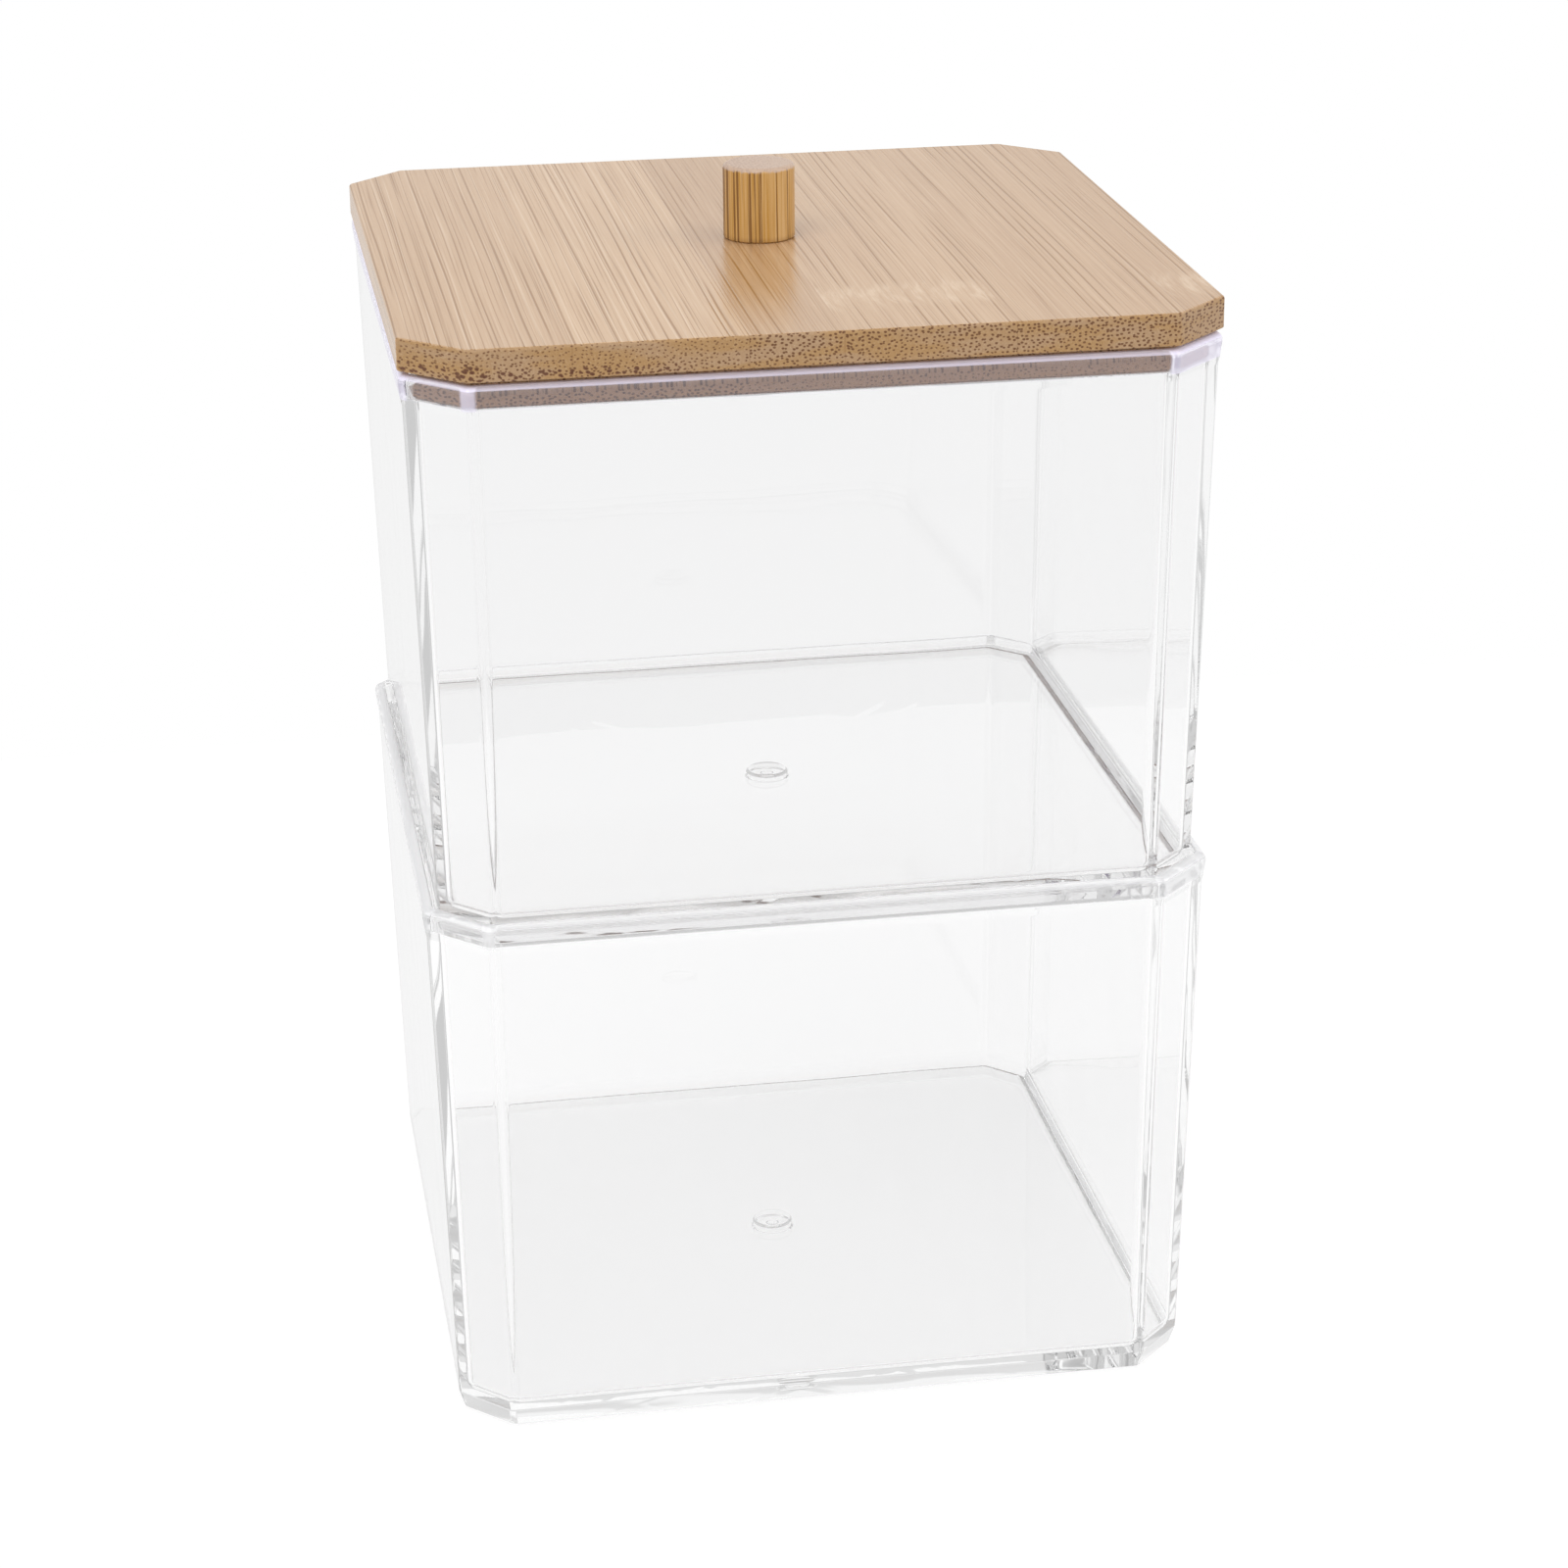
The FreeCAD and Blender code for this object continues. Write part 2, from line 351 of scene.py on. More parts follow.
def loft_group():
    """Geometry nodes that loft a section round a square plan with cut, rounded corners.

    The section's points hold (half width across the flats, half width across the cut corners,
    height), and its attribute edge_radius holds the radius of the eight upright edges there.
    Where both half widths are equal to the radius, the point makes a circle.
    """
    group = bpy.data.node_groups.new("Cut-corner loft", "GeometryNodeTree")
    face = group.interface
    face.new_socket("Geometry", in_out="INPUT", socket_type="NodeSocketGeometry")
    steps = face.new_socket("Corner Steps", in_out="INPUT", socket_type="NodeSocketInt")
    steps.default_value, steps.min_value = 8, 1
    merge = face.new_socket("Merge Distance", in_out="INPUT", socket_type="NodeSocketFloat")
    merge.default_value = WELD
    face.new_socket("Material", in_out="INPUT", socket_type="NodeSocketMaterial")
    face.new_socket("Geometry", in_out="OUTPUT", socket_type="NodeSocketGeometry")
    tree = Tree(group)
    section = tree.add("NodeGroupInput")
    step_count = tree.other(section, 1)
    rows = tree.add("GeometryNodeAttributeDomainSize", {"component": "MESH"}, {0: section})
    columns = (step_count + 1) * CORNERS + 1
    grid = tree.add("GeometryNodeMeshGrid", None, {"Vertices X": rows, "Vertices Y": columns})
    index = tree.add("GeometryNodeInputIndex")

    def whole(quotient):
        """The quotient rounded down, safe from one that falls just short of a whole number."""
        return (quotient + 1e-5).math("FLOOR")

    row = whole(index / columns)
    column = index - row * columns
    corner = whole(column / (step_count + 1))
    along = (column - corner * (step_count + 1)) / step_count
    quarter = whole(corner / 2)
    odd = corner - quarter * 2
    place = tree.add("GeometryNodeInputPosition")
    sizes = tree.add("GeometryNodeSampleIndex", {"data_type": "FLOAT_VECTOR"},
                     {0: section, 1: place, 2: row})
    flat_half, cut_half, height = tree.split(sizes)
    named = tree.add("GeometryNodeInputNamedAttribute", {"data_type": "FLOAT"},
                     {"Name": "edge_radius"})
    radius = tree.add("GeometryNodeSampleIndex", {"data_type": "FLOAT"},
                      {0: section, 1: named, 2: row})
    centre_a = flat_half - radius
    centre_b = (cut_half - radius) * ROOT2 - centre_a
    turn = (odd + along) * math.radians(45)
    x = centre_a + (centre_b - centre_a) * odd + radius * turn.math("COSINE")
    y = centre_b + (centre_a - centre_b) * odd + radius * turn.math("SINE")
    swing = quarter * math.radians(90)
    cos, sin = swing.math("COSINE"), swing.math("SINE")
    moved = tree.add("GeometryNodeSetPosition", None, {
        "Geometry": grid, "Position": tree.vector(x * cos - y * sin, x * sin + y * cos, height)})
    closed = tree.add("GeometryNodeMergeByDistance", None,
                      {"Geometry": moved, "Distance": tree.other(section, 2)})
    real = tree.add("GeometryNodeRealizeInstances", None, {0: closed})
    painted = tree.add("GeometryNodeSetMaterial", None,
                       {"Geometry": real, "Material": tree.other(section, 3)})
    tree.add("NodeGroupOutput", None, {0: painted})
    return group


def new_object(name, data):
    """An object of this scene that shows a mesh, a lamp or a camera."""
    thing = bpy.data.objects.new(name, data)
    bpy.context.scene.collection.objects.link(thing)
    return thing


def evaluated_mesh(piece):
    """The piece's mesh with its modifiers applied."""
    graph = bpy.context.evaluated_depsgraph_get()
    return bpy.data.meshes.new_from_object(piece.evaluated_get(graph), depsgraph=graph)


def shade(mesh):
    """Smooth shading, with crisp edges where the faces turn sharply."""
    mesh.shade_smooth()
    mesh.set_sharp_from_angle(angle=math.radians(SHARP_TURN))


def lofted(name, section, material, corner_steps=8):
    """A closed piece lofted from section, a list of (flat half, cut half, height, edge radius)."""
    mesh = bpy.data.meshes.new(name)
    mesh.from_pydata([p[:3] for p in section], [(i, i + 1) for i in range(len(section) - 1)], [])
    radius = mesh.attributes.new("edge_radius", "FLOAT", "POINT")
    radius.data.foreach_set("value", [p[3] for p in section])
    piece = new_object(name, mesh)
    group = bpy.data.node_groups.get("Cut-corner loft") or loft_group()
    modifier = piece.modifiers.new("Loft", "NODES")
    modifier.node_group = group
    named = {item.name: item.identifier for item in group.interface.items_tree
             if item.in_out == "INPUT"}
    modifier[named["Corner Steps"]] = corner_steps
    modifier[named["Merge Distance"]] = WELD
    modifier[named["Material"]] = material
    shell = evaluated_mesh(piece)
    piece.modifiers.clear()
    piece.data = shell
    shell.name = name
    face_outwards(shell)
    shade(shell)
    weight = piece.modifiers.new("Even normals", "WEIGHTED_NORMAL")
    weight.keep_sharp = True
    piece.data = evaluated_mesh(piece)
    piece.modifiers.clear()
    piece.data.materials.clear()
    piece.data.materials.append(material)
    return piece


def welded_copy(name, node, material):
    """A piece with a solid's own shape, its triangles welded into one closed shell."""
    shell = bmesh.new()
    shell.from_mesh(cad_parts[node].data)
    bmesh.ops.remove_doubles(shell, verts=shell.verts, dist=WELD)
    mesh = bpy.data.meshes.new(name)
    shell.to_mesh(mesh)
    shell.free()
    shade(mesh)
    mesh.materials.clear()
    mesh.materials.append(material)
    return new_object(name, mesh)


def face_outwards(mesh):
    """Turns a closed shell's faces outwards by the sign of its volume."""
    mesh.calc_loop_triangles()
    volume = 0
    for triangle in mesh.loop_triangles:
        a, b, c = (mesh.vertices[i].co for i in triangle.vertices)
        volume += a.dot(b.cross(c))
    if volume < 0:
        mesh.flip_normals()


def cut_offset(box):
    """How much further from the middle the cut corners are than the flats."""
    top_half = box.wall_top_width / 2
    return (2 * top_half - box.corner_leg) / ROOT2 - top_half


def ring_maker(box):
    """A function that makes a section's points on the cut-corner plan."""
    offset = cut_offset(box)

    def ring(half, z, edge):
        return (half, half + offset, z, max(edge, LEAST_EDGE))

    return ring


def disc(radius, z):
    """A section's point that makes a circle."""
    return (radius, radius, z, radius)


def arc(centre_half, centre_height, radius, from_degrees, to_degrees, count=6):
    """Points (half width, height) on a fillet of a section."""
    points = []
    for i in range(count + 1):
        turn = math.radians(from_degrees + (to_degrees - from_degrees) * i / count)
        points.append((centre_half + radius * math.cos(turn),
                       centre_height + radius * math.sin(turn)))
    return points


# ---------------------------------------------------------------- clear boxes

def box_section(s, base):
    """Section of one moulding that stands at height base.

    It runs from the gate mark under the floor, up the outside and over the rim, down into the
    mouth and the inside, to the middle of the floor.
    """
    top_half = s.wall_top_width / 2
    collar_z = s.height - s.collar_height
    bevel_z = collar_z - s.collar_bevel
    ledge_z = s.height - s.nest_depth - s.contact_gap
    floor_z = s.floor_thickness

    def wall(z):
        return top_half - (collar_z - z) * math.tan(s.wall_draft)

    ledge_half = wall(s.height - s.nest_depth) - s.wall_thickness

    def cavity(z):
        return ledge_half - (s.height - s.nest_depth - z) * math.tan(s.core_draft)

    foot = ledge_half + s.seat_overlap
    collar = top_half + s.collar_step
    rim = collar + s.collar_flare
    mouth = wall(s.nest_depth) + s.nest_clearance
    mouth_top = mouth + s.mouth_lead
    outer = s.outer_edge
    ring = ring_maker(s)
    foot_round = 0.25 * MM
    small = 0.12 * MM
    stub = 0.8 * MM

    # the gate mark
    stub_z = s.gate_depth - s.gate_nub
    section = [disc(0, stub_z), disc(stub * 0.85, stub_z)]
    section.append(disc(stub, s.gate_depth - s.gate_nub * 0.8))
    section.append(disc(stub * 1.05, s.gate_depth - small))
    section += [disc(stub * 1.2, s.gate_depth), disc(s.gate_radius - small, s.gate_depth)]
    section += [disc(s.gate_radius, s.gate_depth - small), disc(s.gate_radius, small)]
    section += [disc(s.gate_radius + small, 0)]

    # the tapered foot, the wall and the collar
    for half, z in arc(foot - foot_round, foot_round, foot_round, -90, -16, 4):
        section.append(ring(half, z, outer - (foot - half)))
    taper = (wall(s.foot_height) - foot) / s.foot_height
    section.append(ring(foot + taper * (s.foot_height - small), s.foot_height - small, outer))
    section.append(ring(wall(s.foot_height + small), s.foot_height + small, outer))
    section.append(ring(wall(bevel_z - small), bevel_z - small, outer))
    ease = (collar - wall(bevel_z)) * 0.15
    section.append(ring(wall(bevel_z) + ease, bevel_z + small, outer))
    section.append(ring(collar - ease, collar_z - small, outer))
    flare = s.collar_flare / s.collar_height
    section.append(ring(collar + flare * small, collar_z + small, outer))

    # over the rim and down to the ledge
    lean = math.atan(flare)
    rim_centre = rim - s.rim_edge * (math.tan(lean) + 1 / math.cos(lean))
    for half, z in arc(rim_centre, s.height - s.rim_edge, s.rim_edge, -math.degrees(lean), 90):
        section.append(ring(half, z, outer - (rim - half)))
    for half, z in arc(mouth_top + s.mouth_edge, s.height - s.mouth_edge, s.mouth_edge, 90, 180):
        section.append(ring(half, z, outer + (half - mouth_top)))
    section.append(ring(mouth, ledge_z + small, outer))
    section.append(ring(mouth - small, ledge_z, outer))
    section.append(ring(ledge_half + small, ledge_z, s.inner_edge))
    section.append(ring(ledge_half, ledge_z - small, s.inner_edge))

    # the fillet round the floor, and the boss over the gate mark
    fillet = s.floor_fillet
    inner = cavity(floor_z + fillet)
    for half, z in arc(inner - fillet, floor_z + fillet, fillet, 0, -90, 8):
        section.append(ring(half, z, s.inner_edge - (inner - half)))
    boss = s.gate_radius - s.gate_boss
    boss_z = floor_z + s.gate_boss
    dish_z = boss_z - small * 0.4
    section += [disc(s.gate_radius + small, floor_z), disc(s.gate_radius - small, floor_z + small)]
    section += [disc(boss, boss_z), disc(boss - small * 3, dish_z), disc(0, dish_z)]
    return [(flat, cut, base + z, edge) for flat, cut, z, edge in section]


def painted_rim_glow(tree, sizes):
    """How much painted edge glow the plastic takes, and 1 on the upper box.

    The glow is painted light: most on the rounded rim, then on the collar along its upright
    edges and where it is seen aslant. The lower box has half as much.
    """
    x, y, z = object_millimetres(tree)
    wide, deep = x.math("ABSOLUTE"), y.math("ABSOLUTE")
    flat = wide.math("MAXIMUM", deep)
    cut = (wide + deep) / ROOT2 - cut_offset(sizes) / MM
    lower_rim, upper_rim = LOWER_HIGH.z / MM, UPPER_HIGH.z / MM
    upper = z.above(lower_rim + 0.01)
    below = upper * (upper_rim - lower_rim) + lower_rim - z
    skin = (sizes.wall_top_width / 2 - sizes.mouth_edge) / MM - 0.6
    outside = flat.math("MAXIMUM", cut).above(skin)
    rim = below.fade(sizes.rim_edge / MM - 0.55, sizes.rim_edge / MM - 0.35)
    collar = below.fade(sizes.collar_height / MM - 0.2, sizes.collar_height / MM)
    edge = (flat - cut).math("ABSOLUTE").fade(0.5, 0.9)
    facing = tree.add("ShaderNodeLayerWeight", None, {"Blend": 0.5}, "Facing")
    # whiter where the collar is seen aslant: painted sheen
    aslant = facing.step(0.30, 0.50)
    on_collar = (edge + aslant).clamped() * 0.50 + 0.07
    painted_glow_share = outside * (rim * 0.55 + collar * on_collar).clamped()
    return painted_glow_share * (upper * 0.5 + 0.5), upper


def clear_plastic(colours, sizes):
    """Clear polished polystyrene with a painted lavender-white glow on its rim edges, faintly wavy
    as a moulding is.

    Light that is still inside after the longest path comes out as a soft white.
    """
    material, tree = new_material("clear_plastic")
    place = tree.vector(*object_millimetres(tree))
    wave = tree.noise(place, 0.045, 1.0)
    dull = tree.noise(place, 0.35, 3.0, 0.6).step(0.45, 0.8)
    clear = principled(tree, {
        "Base Color": (*colours.plastic, 1),
        "Roughness": 0.006 + dull * 0.012,
        "IOR": 1.55,
        "Transmission Weight": 1.0,
        "Normal": tree.bump(0.12, 0.6 * MM, wave),
    })
    painted_glow_share, upper = painted_rim_glow(tree, sizes)
    # lavender on the upper box, grey on the lower: the difference is painted light
    cast = tree.mix(upper, colours.painted_edge_glow_low, colours.painted_edge_glow)
    # an opaque lavender-white layer over the clear plastic: painted edge glow
    painted_edge_glow = principled(tree, {"Base Color": cast, "Roughness": 0.35})
    moulding = tree.blend(painted_glow_share, clear, painted_edge_glow)
    trapped = tree.add("ShaderNodeLightPath", None, None, "Ray Depth").above(LONGEST_PATH)
    end_material(tree, tree.blend(trapped, moulding, tree.glow(0.6)))
    return material


class COTTONBOX_OT_clear_boxes(bpy.types.Operator):
    """Makes the two clear boxes, one for each tier"""
    bl_idname = "cottonbox.clear_boxes"
    bl_label = "Clear boxes"

    def execute(self, context):
        sizes = context.scene.cotton_box_sizes
        material = clear_plastic(context.scene.cotton_box_finishes, sizes)
        for node, body, base in (("lower_box", "lower_tier", LOWER_LOW.z),
                                 ("upper_box", "upper_tier", UPPER_LOW.z)):
            piece = lofted("clear_" + node, box_section(sizes, base), material)
            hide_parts(node)
            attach(piece, body)
        return {"FINISHED"}


# ---------------------------------------------------------------- bamboo

# Glued strips of the board from left to right. Each has its left edge in millimetres, its tone,
# its node's place in millimetres, 1 where the cane's outer skin is up, and its number.
BOARD_STRIPS = (
    (-60.0, 0.50, 90.0, 0, 0),
    (-30.1, 0.22, -90.0, 0, 1),
    (-9.3, 0.80, -90.0, 1, 2),
    (2.0, 0.45, -34.0, 1, 3),
    (22.7, 0.58, 90.0, 1, 4),
    (43.4, 0.72, -36.0, 1, 5),
)
LEFT_EDGE, TONE, NODE_PLACE, OUTER_UP, NUMBER = range(5)
SEAM_HALF = 0.07        # millimetres


def per_strip(x, column):
    """The value of one column of BOARD_STRIPS at x."""
    total = BOARD_STRIPS[0][column]
    for before, strip in zip(BOARD_STRIPS, BOARD_STRIPS[1:]):
        total = x.above(strip[LEFT_EDGE]) * (strip[column] - before[column]) + total
    return total


def seam_lines(x):
    """1 on the glue lines between strips."""
    total = 0
    for strip in BOARD_STRIPS[1:]:
        edge = strip[LEFT_EDGE]
        total = x.above(edge - SEAM_HALF) - x.above(edge + SEAM_HALF) + total
    return total


def bundle_dots(tree, across, up, along, pitch, randomness):
    """Fibre bundles that run along one axis.

    Gives how near a point is to one, in pitches, how it swells along its length, and a number
    of its own.
    """
    near = tree.add("ShaderNodeTexVoronoi", {"voronoi_dimensions": "2D"}, {
        "Vector": tree.vector(across / pitch[0], up / pitch[1], 0.0),
        "Scale": 1.0, "Randomness": randomness}, "Distance")
    own, other, _ = tree.split(tree.other(near, "Color"))
    apart = 60.0        # so that no two bundles swell alike
    swell = tree.noise(tree.vector(own * apart, other * apart, along), 1.0, 1.0)
    return near, swell, own


def grain_lines(tree, across, along, pitch, half_width, seed):
    """Thin lines along one axis, one to each pitch, that swell and die away along their length."""
    cell = (across / pitch).math("FLOOR")
    own = tree.random(cell + seed)
    reach = tree.noise(tree.vector(cell * 7.31 + seed, along * 0.020, 0.0), 1.0, 1.0)
    aside = ((across / pitch - cell - 0.2 - own * 0.6) * pitch).math("ABSOLUTE")
    strength = (reach + own * 0.30).step(0.54, 0.76)
    return aside.fade(half_width * 0.3, half_width * 1.5) * strength


def coarse_bundles(tree, x, z, x_run, z_run, y, plate_low):
    """Large dark bundles near the cane's skin: a row at the left, and a knot by the corner."""
    near, swell, _ = bundle_dots(tree, x_run, z_run * 1.1, y * 0.02, (0.95, 0.72), 0.85)
    row_height, knot_x, knot_height = 0.7, -42.2, 1.1
    row = (z - plate_low - row_height).math("ABSOLUTE").fade(0.4, 1.0) * x.fade(-22.0, -12.0)
    knot = ((x - knot_x) ** 2 + (z - plate_low - knot_height) ** 2).fade(0.8, 3.0)
    size = (swell * row * 0.60 + knot * 0.36).math("MINIMUM", 0.38)
    return (near - size).fade(-0.14, 0.04)


def bamboo_board(colours, plate_low):
    """Strips of bamboo glued side by side, with the plate's underside at plate_low millimetres.

    Their bundles run front to back, and end as dots on the front and back.
    """
    material, tree = new_material("bamboo_board")
    x, y, z = object_millimetres(tree)
    tone = per_strip(x, TONE)
    node_place = per_strip(x, NODE_PLACE)
    outer_up = per_strip(x, OUTER_UP)
    strip = per_strip(x, NUMBER)
    left_half = x.fade(-10.5, -8.0)
    # below the plate's underside, where the plug takes its painted shade
    on_plug = z.fade(plate_low - 0.2, plate_low)

    # where the board is cut across, with a ragged border
    normal = tree.add("ShaderNodeTexCoord", None, None, "Normal")
    _, facing, _ = tree.split(normal)
    ragged = tree.noise(tree.vector(x, y, z), 2.6, 2.0, 0.6)
    end_grain = (facing.math("ABSOLUTE") + ragged * 0.5).step(0.62, 0.80)
    along_grain = 1 - end_grain

    # bundles cut across, more and larger towards the cane's skin
    x_run = x + tree.noise(tree.vector(strip * 9.0, y * 0.010, z * 0.1), 1.0, 1.0) * 0.9
    z_run = z + tree.noise(tree.vector(x * 0.5, y * 0.016, strip * 7.0), 1.0, 1.0) * 0.8
    near, swell, own = bundle_dots(tree, x_run, z_run, y * 0.03, (0.64, 0.47), 0.78)
    depth = (z - BOARD_LOW.z / MM) / ((BOARD_HIGH.z - BOARD_LOW.z) / MM)
    outer = (depth * outer_up + (1 - depth) * (1 - outer_up)).clamped()
    patches = tree.noise(tree.vector(x * 0.13, y * 0.015, z * 0.25), 1.0, 2.0)
    size = (outer * 0.10 + swell * 0.28 + patches * 0.20 - 0.02).math("MINIMUM", 0.32)
    dots = (near - size).fade(-0.12, 0.06) * (own * 0.3 + outer * 0.3 + 0.65).clamped()
    coarse = coarse_bundles(tree, x, z, x_run, z_run, y, plate_low)

    # bundles along the surface, and the fine hair between them
    spread = x_run + z_run
    strong = grain_lines(tree, spread, y, 1.20, 0.13, 3.0)
    fine = grain_lines(tree, spread, y, 0.58, 0.07, 41.0)
    pale = grain_lines(tree, spread, y, 1.05, 0.13, 87.0)
    hair = tree.noise(tree.vector(x_run * 5.0, y * 0.05, z_run * 5.0), 1.0, 3.0, 0.62)
    broad = tree.noise(tree.vector(x * 0.35, y * 0.010, z * 0.3), 1.0, 2.0)

    # soft pale tissue at a node, where the lines pause
    wobble = tree.noise(tree.vector(x * 0.5, strip, 0.0), 1.0, 2.0) * 7.0 - 3.5
    near_node = (y - node_place + wobble).math("ABSOLUTE").fade(1.5, 7.5) * along_grain
    tissue_place = tree.vector(x_run * 1.1 + near_node * 0.9, y * 0.14, z * 0.2)
    tissue = tree.noise(tissue_place, 1.0, 3.0, 0.6).step(0.38, 0.74) * near_node * (1 - on_plug)

    long_tone = (tone + broad * 0.6 - 0.25).clamped()
    long_grain = tree.mix(long_tone, colours.bamboo_pale, colours.bamboo_deep)
    cut_tone = tree.noise(tree.vector(x * 0.09, 0.0, z * 0.55), 1.0, 1.0).step(0.40, 0.62)
    cut_grain = tree.mix(cut_tone * 0.7, colours.end_grain, colours.end_grain_pale)
    base = tree.mix(end_grain, long_grain, cut_grain)
    base = tree.tint(base, hair.fade(0.34, 0.52) * 0.50, (0.86, 0.78, 0.66))
    fine_share = (left_half * 0.20 + 0.40) * (1 - near_node * 0.8)
    seam = seam_lines(x)
    for share, finish in (
            (hair.step(0.56, 0.72) * 0.18, colours.node_tuft),
            (pale * along_grain * (left_half * 0.22 + 0.12), colours.node_tuft),
            (fine * along_grain * fine_share, colours.streak),
            (strong * along_grain * (0.92 - near_node * 0.7), colours.streak),
            # painted shade on the plug under the plate
            (on_plug * 0.60, colours.plug_painted_shade),
            (dots * end_grain * 0.95, colours.bundle),
            (coarse * end_grain * 0.9, colours.bundle_dark),
            (tissue * 0.42, colours.node_tuft)):
        base = tree.mix(share, base, finish)
    base = tree.tint(base, seam * 0.30, (0.62, 0.50, 0.38))

    relief = hair * 0.3 - (strong + fine * 0.5) * along_grain * 0.5
    relief = relief - dots * end_grain * 0.4 - seam * 0.3 - end_grain * ragged * 1.5 + tissue * 0.3
    end_material(tree, principled(tree, {
        "Base Color": base,
        "Roughness": 0.20 + hair * 0.06 + end_grain * 0.28,
        "IOR": 1.5,
        "Normal": tree.bump(0.5, 0.08 * MM, relief),
    }))
    return material


def bamboo_dowel(colours):
    """Bamboo dowel: dark stripes down its side, dots on its end, painted shade at its foot."""
    material, tree = new_material("bamboo_dowel")
    x, y, z = object_millimetres(tree)
    near, swell, _ = bundle_dots(tree, x + z * 0.01, y, z * 0.09, (0.46, 0.52), 0.85)
    side = (x * -0.12 + 0.40).clamped()
    stripes = (near - swell * 0.36 - side * 0.24 + 0.02).fade(-0.10, 0.06)
    hair = tree.noise(tree.vector(x * 4.5, y * 4.5, z * 0.06), 1.0, 2.0, 0.6)
    ragged = tree.noise(tree.vector(x, y, z), 2.4, 2.0)
    end = (z - KNOB_HIGH.z / MM + ragged * 0.7).step(-0.25, 0.05)
    # painted contact shade: darker towards the knob's foot, where it stands on the board
    foot = (z - KNOB_LOW.z / MM).fade(0.2, 0.9)
    base = tree.mix(hair.step(0.32, 0.68), colours.dowel_pale, colours.dowel_gold)
    base = tree.mix(stripes * 0.88, base, colours.dowel_deep)
    base = tree.mix(end * 0.85, base, colours.dowel_end)
    base = tree.tint(base, foot * 0.4, (0.50, 0.40, 0.30))
    end_material(tree, principled(tree, {
        "Base Color": base,
        "Roughness": 0.33 + stripes * 0.15,
        "IOR": 1.5,
        "Normal": tree.bump(0.5, 0.1 * MM, hair - stripes * 0.8),
    }))
    return material


def board_section(lid, box):
    """Closed section of the board: up its screw hole, over the plate and back under the plug."""
    low, high = BOARD_LOW.z, BOARD_HIGH.z
    rim_half = box.wall_top_width / 2 + box.collar_step + box.collar_flare
    plate_half = rim_half - lid.plate_inset
    plate_z = high - lid.plate_thickness
    ring = ring_maker(box)
    small = 0.1 * MM

    cone_top = low + lid.head_rim + lid.head_radius - lid.hole_radius
    section = [disc(lid.head_radius, low), disc(lid.head_radius, low + lid.head_rim)]
    section += [disc(lid.hole_radius, cone_top), disc(lid.hole_radius, high)]
    eased = arc(plate_half - lid.top_edge, high - lid.top_edge, lid.top_edge, 0, 90)
    for half, z in reversed(eased):
        section.append(ring(half, z, lid.plate_corner - (plate_half - half)))
    section.append(ring(plate_half, plate_z + small, lid.plate_corner))
    section.append(ring(plate_half - small, plate_z, lid.plate_corner - small))
    section.append(ring(lid.plug_half + small, plate_z, box.outer_edge))
    section.append(ring(lid.plug_half, plate_z - small, box.outer_edge))
    section.append(ring(lid.plug_half, low + lid.plug_edge, box.outer_edge))
    section.append(ring(lid.plug_half - lid.plug_edge, low, box.outer_edge - lid.plug_edge))
    return section + section[:1]


class COTTONBOX_OT_bamboo_lid(bpy.types.Operator):
    """Makes the bamboo board with its plate and plug"""
    bl_idname = "cottonbox.bamboo_lid"
    bl_label = "Bamboo lid"

    def execute(self, context):
        scene = context.scene
        lid = scene.cotton_box_lid
        plate_low = (BOARD_HIGH.z - lid.plate_thickness) / MM
        wood = bamboo_board(scene.cotton_box_finishes, plate_low)
        piece = lofted("bamboo_lid_board", board_section(lid, scene.cotton_box_sizes), wood)
        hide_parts("lid_board")
        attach(piece, "lid")
        return {"FINISHED"}


def knob_section(lid):
    """Section of the knob, from the middle of its top to the bottom of its pilot hole."""
    low, high = KNOB_LOW.z, KNOB_HIGH.z
    radius = (KNOB_HIGH.x - KNOB_LOW.x) / 2
    section = [disc(0, high), disc(radius * 0.5, high)]
    eased = arc(radius - lid.knob_edge, high - lid.knob_edge, lid.knob_edge, 0, 90)
    section += [disc(r, z) for r, z in reversed(eased)]
    section += [disc(radius, low + lid.knob_foot), disc(radius - lid.knob_foot, low)]
    section += [disc(lid.pilot_radius, low), disc(lid.pilot_radius, low + lid.pilot_depth)]
    return section + [disc(0, low + lid.pilot_depth)]


class COTTONBOX_OT_dowel_knob(bpy.types.Operator):
    """Makes the knob, a short bamboo dowel"""
    bl_idname = "cottonbox.dowel_knob"
    bl_label = "Dowel knob"

    def execute(self, context):
        scene = context.scene
        piece = lofted("bamboo_dowel_knob", knob_section(scene.cotton_box_lid),
                       bamboo_dowel(scene.cotton_box_finishes))
        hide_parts("lid_knob")
        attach(piece, "lid")
        return {"FINISHED"}


# ---------------------------------------------------------------- screw

def zinc_plate(colours):
    """Zinc-plated steel with fine turning marks and a mottled sheen."""
    material, tree = new_material("zinc_plate")
    x, y, z = object_millimetres(tree)
    reach = (x * x + y * y).math("SQRT")
    turning = (reach * 34.0 + z * 20.0).math("SINE")
    mottle = tree.noise(tree.vector(x, y, z), 2.4, 3.0)
    darker = tuple(c * 0.78 for c in colours.zinc)
    end_material(tree, principled(tree, {
        "Base Color": tree.mix(mottle, colours.zinc, darker),
        "Metallic": 1.0,
        "Roughness": 0.26 + mottle * 0.2,
        "Normal": tree.bump(0.25, 0.03 * MM, turning),
    }))
    return material


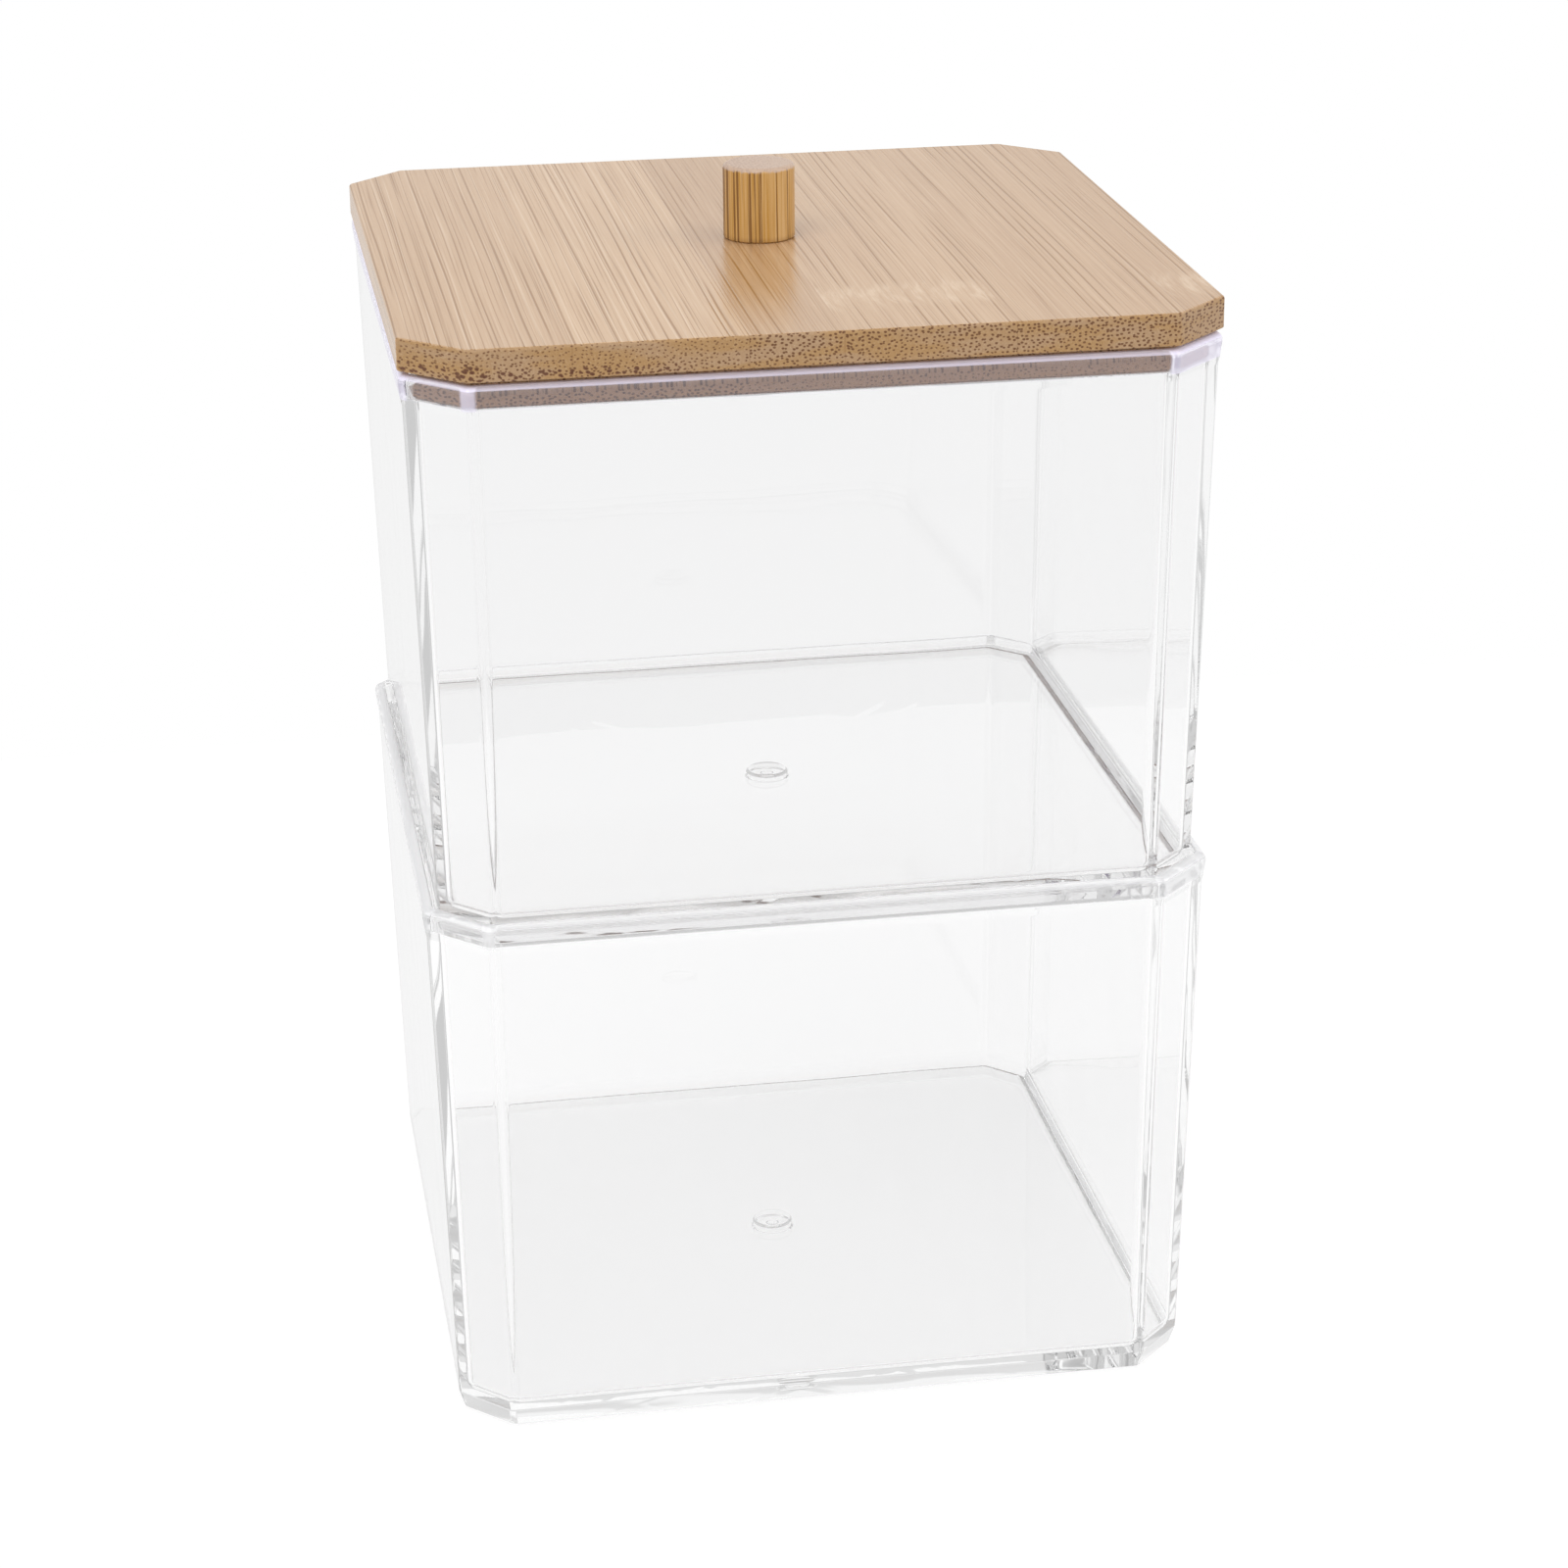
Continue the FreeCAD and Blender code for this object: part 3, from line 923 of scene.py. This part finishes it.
class COTTONBOX_OT_knob_screw(bpy.types.Operator):
    """Makes the countersunk screw that holds the knob"""
    bl_idname = "cottonbox.knob_screw"
    bl_label = "Knob screw"

    def execute(self, context):
        zinc = zinc_plate(context.scene.cotton_box_finishes)
        piece = welded_copy("zinc_knob_screw", "knob_screw", zinc)
        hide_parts("knob_screw")
        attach(piece, "lid")
        return {"FINISHED"}


# ---------------------------------------------------------------- studio

def seen_rays(tree):
    """1 for camera rays, 1 for camera and transmission rays, and 1 for reflections alone."""
    camera = tree.add("ShaderNodeLightPath", None, None, "Is Camera Ray")
    glossy = tree.other(camera, "Is Glossy Ray")
    through = tree.other(camera, "Is Transmission Ray")
    return camera, (camera + through).clamped(), (glossy - through).clamped()


def studio_world(level):
    """White all round to the eye and through the plastic, an even level for light."""
    world = bpy.data.worlds.new("studio")
    bpy.context.scene.world = world
    world.use_nodes = True
    world.node_tree.nodes.clear()
    tree = Tree(world.node_tree)
    camera, direct, mirrored = seen_rays(tree)
    aim = tree.add("ShaderNodeTexCoord", None, None, "Generated")
    across, _, up = tree.split(aim)
    overhead = up.step(0.25, 0.75)
    aside = across.math("ABSOLUTE").step(0.55, 0.90)
    through = (1 - camera) * (1 - overhead * 0.40) * (1 - aside * 0.50) * 0.95 + camera
    reflected = 0.90 - up.step(0.20, 0.90) * 0.35
    grey = (1 - direct) * (1 - mirrored) * level + through * direct + reflected * mirrored
    light = tree.add("ShaderNodeBackground", None, {"Color": (1, 1, 1, 1), "Strength": grey})
    tree.add("ShaderNodeOutputWorld", None, {"Surface": light})
    world.cycles.sampling_method = "NONE"


def studio_floor():
    """Plain pale floor that reads as white, takes a soft shadow and is clear from below."""
    side, rear, drop = 6.0, 0.213, -0.1 * MM
    corners = [(-side, -side, drop), (side, -side, drop), (side, rear, drop), (-side, rear, drop)]
    mesh = bpy.data.meshes.new("studio_floor")
    mesh.from_pydata(corners, [], [(0, 1, 2, 3)])
    floor = new_object("studio_floor", mesh)
    material, tree = new_material("pale_floor")
    _, direct, mirrored = seen_rays(tree)
    x, y, _ = object_millimetres(tree)
    far = (x * x + y * y).math("SQRT").step(140.0, 420.0)
    shaded = tree.add("ShaderNodeAddShader", None, {0: tree.matt(0.24), 1: tree.glow(0.78)})
    shown = tree.blend(far, shaded, tree.glow(1.0))
    reflected = tree.blend(y.step(-120.0, -20.0), tree.glow(0.60), tree.glow(0.90))
    lit = tree.blend(direct, tree.matt(0.86), shown)
    seen = tree.blend(mirrored, lit, reflected)
    below = tree.add("ShaderNodeNewGeometry", None, None, "Backfacing")
    end_material(tree, tree.blend(below, seen, tree.add("ShaderNodeBsdfTransparent")))
    mesh.materials.append(material)
    floor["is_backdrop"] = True


def studio_lamp(name, place, target, side, power, blockers):
    """A large square lamp that isn't seen itself, shaded by the blockers alone."""
    lamp = bpy.data.lights.new(name, "AREA")
    lamp.shape, lamp.size, lamp.energy = "SQUARE", side, power
    holder = new_object(name, lamp)
    holder.location = place
    aim = Vector(target) - Vector(place)
    holder.rotation_euler = aim.to_track_quat("-Z", "Y").to_euler()
    holder.visible_transmission = False
    holder.visible_camera = False
    shading = bpy.data.collections.new(name + "_blockers")
    for piece in blockers:
        shading.objects.link(piece)
    holder.light_linking.blocker_collection = shading


def studio_camera(studio):
    lens = bpy.data.cameras.new("camera")
    lens.sensor_width, lens.lens = 36, studio.lens
    lens.clip_start = 0.01
    camera = new_object("camera", lens)
    turn = Vector(studio.camera_turn)
    camera.rotation_mode = "QUATERNION"
    camera.rotation_quaternion = Matrix.Rotation(turn.length, 4, turn.normalized()).to_quaternion()
    camera.location = studio.camera_place
    return camera


class COTTONBOX_OT_studio(bpy.types.Operator):
    """Makes the floor, the lamps, the white surroundings and the camera"""
    bl_idname = "cottonbox.studio"
    bl_label = "Studio"

    def execute(self, context):
        scene = context.scene
        studio = scene.cotton_box_studio
        studio_world(studio.room_light)
        studio_floor()
        solid = [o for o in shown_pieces() if not o.name.startswith("clear_")]
        middle = (0, 0, 0.1)
        for name, place, side, power in (
                ("key_lamp", (-0.45, -0.55, 0.95), 0.7, studio.key_power),
                ("fill_lamp", (0.85, -0.25, 0.55), 0.6, studio.fill_power)):
            studio_lamp(name, place, middle, side, power, solid)
        scene.camera = studio_camera(studio)
        scene.view_settings.view_transform = "Standard"
        scene.cycles.max_bounces = LONGEST_PATH + SPARE_PATH
        scene.cycles.transmission_bounces = LONGEST_PATH + SPARE_PATH
        scene.cycles.glossy_bounces = LONGEST_PATH + SPARE_PATH
        return {"FINISHED"}


# ---------------------------------------------------------------- panel and registration

class COTTONBOX_PT_panel(bpy.types.Panel):
    """Lists the pieces and the studio"""
    bl_idname = "COTTONBOX_PT_panel"
    bl_label = "Cotton box"
    bl_space_type = "VIEW_3D"
    bl_region_type = "UI"
    bl_category = "Cotton box"

    def draw(self, context):
        for operator in OPERATORS:
            self.layout.operator(operator.bl_idname)
        for group in SETTINGS:
            box = self.layout.box()
            for name in SETTINGS[group].__annotations__:
                box.prop(getattr(context.scene, group), name)


OPERATORS = (
    COTTONBOX_OT_clear_boxes,
    COTTONBOX_OT_bamboo_lid,
    COTTONBOX_OT_dowel_knob,
    COTTONBOX_OT_knob_screw,
    COTTONBOX_OT_studio,
)
SETTINGS = {
    "cotton_box_sizes": BoxSizes,
    "cotton_box_lid": LidSizes,
    "cotton_box_finishes": Finishes,
    "cotton_box_studio": StudioSettings,
}


def register():
    for kind in (*SETTINGS.values(), *OPERATORS, COTTONBOX_PT_panel):
        bpy.utils.register_class(kind)
    for name, kind in SETTINGS.items():
        setattr(bpy.types.Scene, name, bpy.props.PointerProperty(type=kind))


def unregister():
    for name in SETTINGS:
        delattr(bpy.types.Scene, name)
    for kind in reversed((*SETTINGS.values(), *OPERATORS, COTTONBOX_PT_panel)):
        bpy.utils.unregister_class(kind)


def main():
    register()
    bpy.ops.cottonbox.clear_boxes()
    bpy.ops.cottonbox.bamboo_lid()
    bpy.ops.cottonbox.dowel_knob()
    bpy.ops.cottonbox.knob_screw()
    bpy.ops.cottonbox.studio()


if __name__ == "__main__":
    main()
